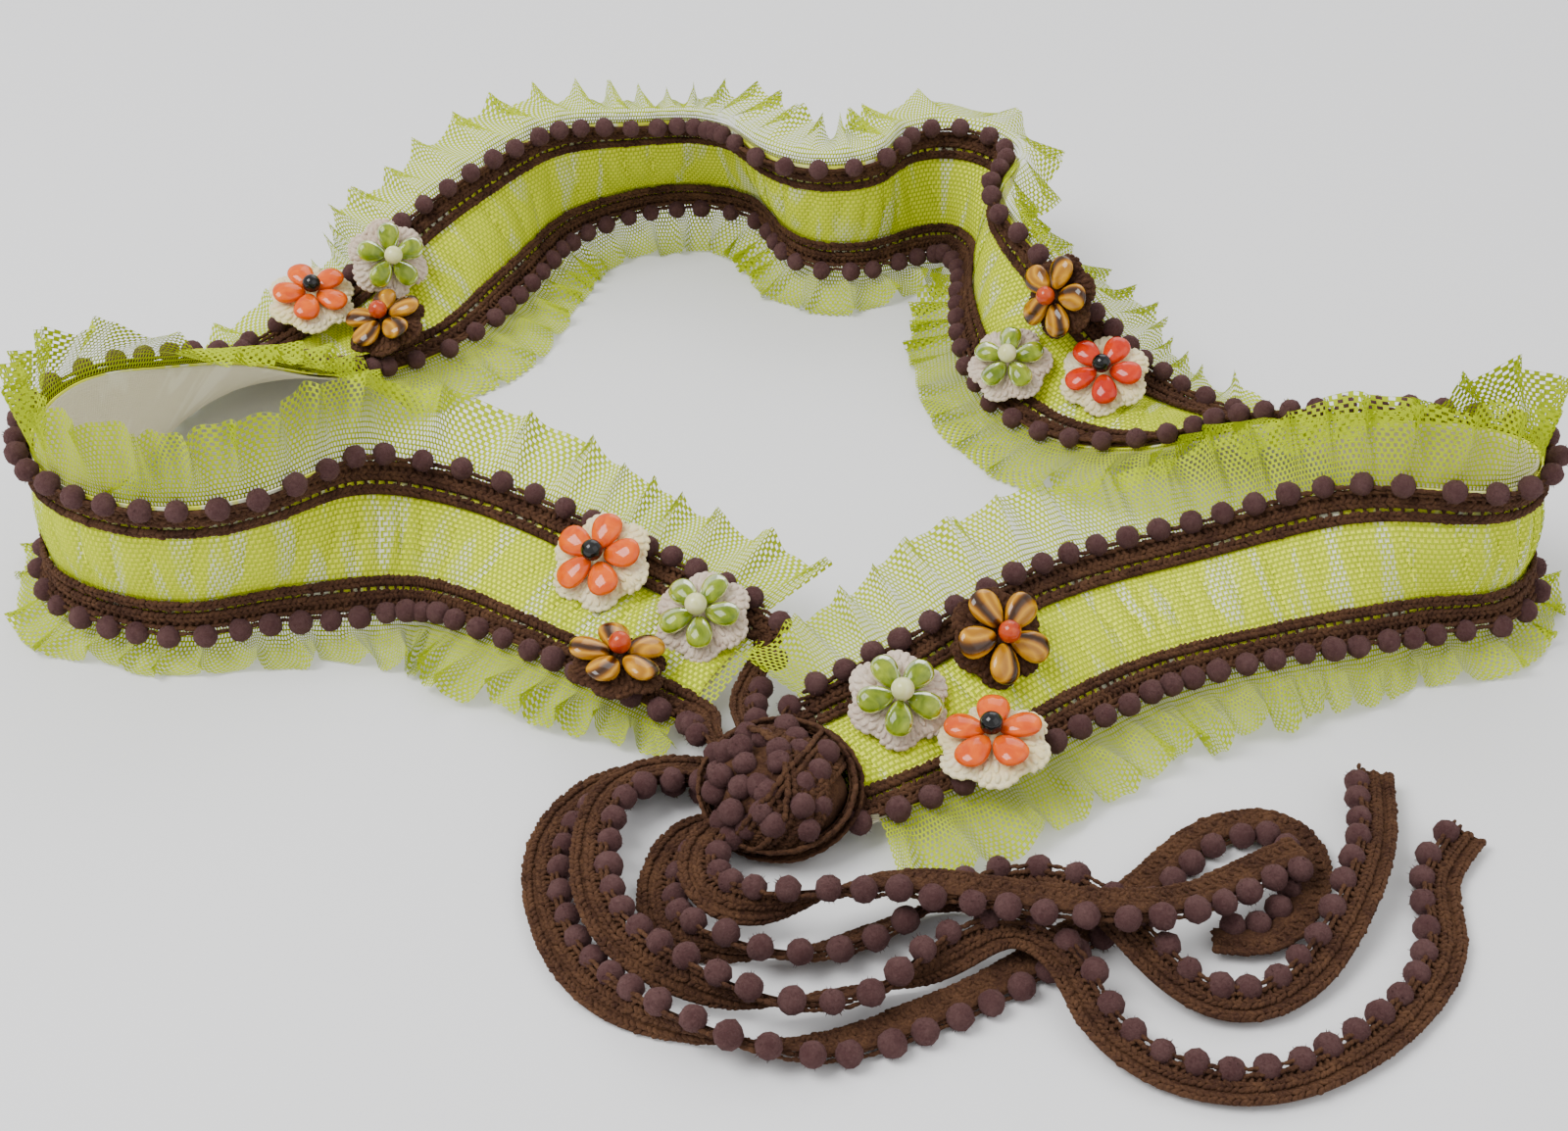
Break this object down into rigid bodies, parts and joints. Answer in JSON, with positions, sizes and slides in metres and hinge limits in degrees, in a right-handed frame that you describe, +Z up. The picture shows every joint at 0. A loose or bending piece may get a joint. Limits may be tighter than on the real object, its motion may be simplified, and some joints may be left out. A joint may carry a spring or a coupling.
{
  "type": "sash belt",
  "caption": "Sash belt of net over cloth with net ruffles, pompom trims, bead flowers and knotted crochet ties, lying in a loop.",
  "frame": {"origin": "on the surface under the middle of the belt's box", "axes": "+Z up, +Y from the knot towards the back of the loop, +X to the right seen from the knot"},
  "size_m": [0.4402, 0.4084, 0.0762],
  "materials": {
    "lining_cloth": "matt cream cotton",
    "tulle_cover": "yellow-green net over cream cloth",
    "net": "yellow-green nylon net",
    "brown_crochet": "dark brown wool crochet",
    "cream_crochet": "cream wool crochet",
    "beige_crochet": "beige pink wool crochet",
    "orange_bead": "glossy translucent orange",
    "red_bead": "glossy translucent red orange",
    "green_bead": "clear yellow-green",
    "tiger_eye_bead": "polished golden brown with bands",
    "black_bead": "glossy black",
    "jade_bead": "pale waxy yellow",
    "carnelian_bead": "polished red orange"
  },
  "bodies": {
    "root": {"lining": "lining_cloth", "tulle_cover": "tulle_cover", "trim_upper": "brown_crochet", "trim_lower": "brown_crochet", "ruffle_upper": "net", "ruffle_lower": "net", "flower_1_orange": "cream_crochet", "petals_1_orange": "orange_bead", "bead_1_orange": "black_bead", "flower_1_green": "beige_crochet", "petals_1_green": "green_bead", "bead_1_green": "jade_bead", "flower_1_tiger": "brown_crochet", "petals_1_tiger": "tiger_eye_bead", "bead_1_tiger": "carnelian_bead", "flower_2_orange": "cream_crochet", "petals_2_orange": "orange_bead", "bead_2_orange": "black_bead", "flower_2_green": "beige_crochet", "petals_2_green": "green_bead", "bead_2_green": "jade_bead", "flower_2_tiger": "brown_crochet", "petals_2_tiger": "tiger_eye_bead", "bead_2_tiger": "carnelian_bead", "flower_3_tiger": "brown_crochet", "petals_3_tiger": "tiger_eye_bead", "bead_3_tiger": "carnelian_bead", "flower_3_green": "beige_crochet", "petals_3_green": "green_bead", "bead_3_green": "jade_bead", "flower_3_red": "cream_crochet", "petals_3_red": "red_bead", "bead_3_red": "black_bead", "flower_4_tiger": "brown_crochet", "petals_4_tiger": "tiger_eye_bead", "bead_4_tiger": "carnelian_bead", "flower_4_green": "beige_crochet", "petals_4_green": "green_bead", "bead_4_green": "jade_bead", "flower_4_orange": "cream_crochet", "petals_4_orange": "orange_bead", "bead_4_orange": "black_bead", "knot": "brown_crochet", "tail_outer": "brown_crochet", "tail_second": "brown_crochet", "tail_third": "brown_crochet", "tail_inner": "brown_crochet", "tie_left_upper": "brown_crochet", "tie_left_lower": "brown_crochet", "tie_right_upper": "brown_crochet", "tie_right_lower": "brown_crochet"}
  },
  "joints": []
}
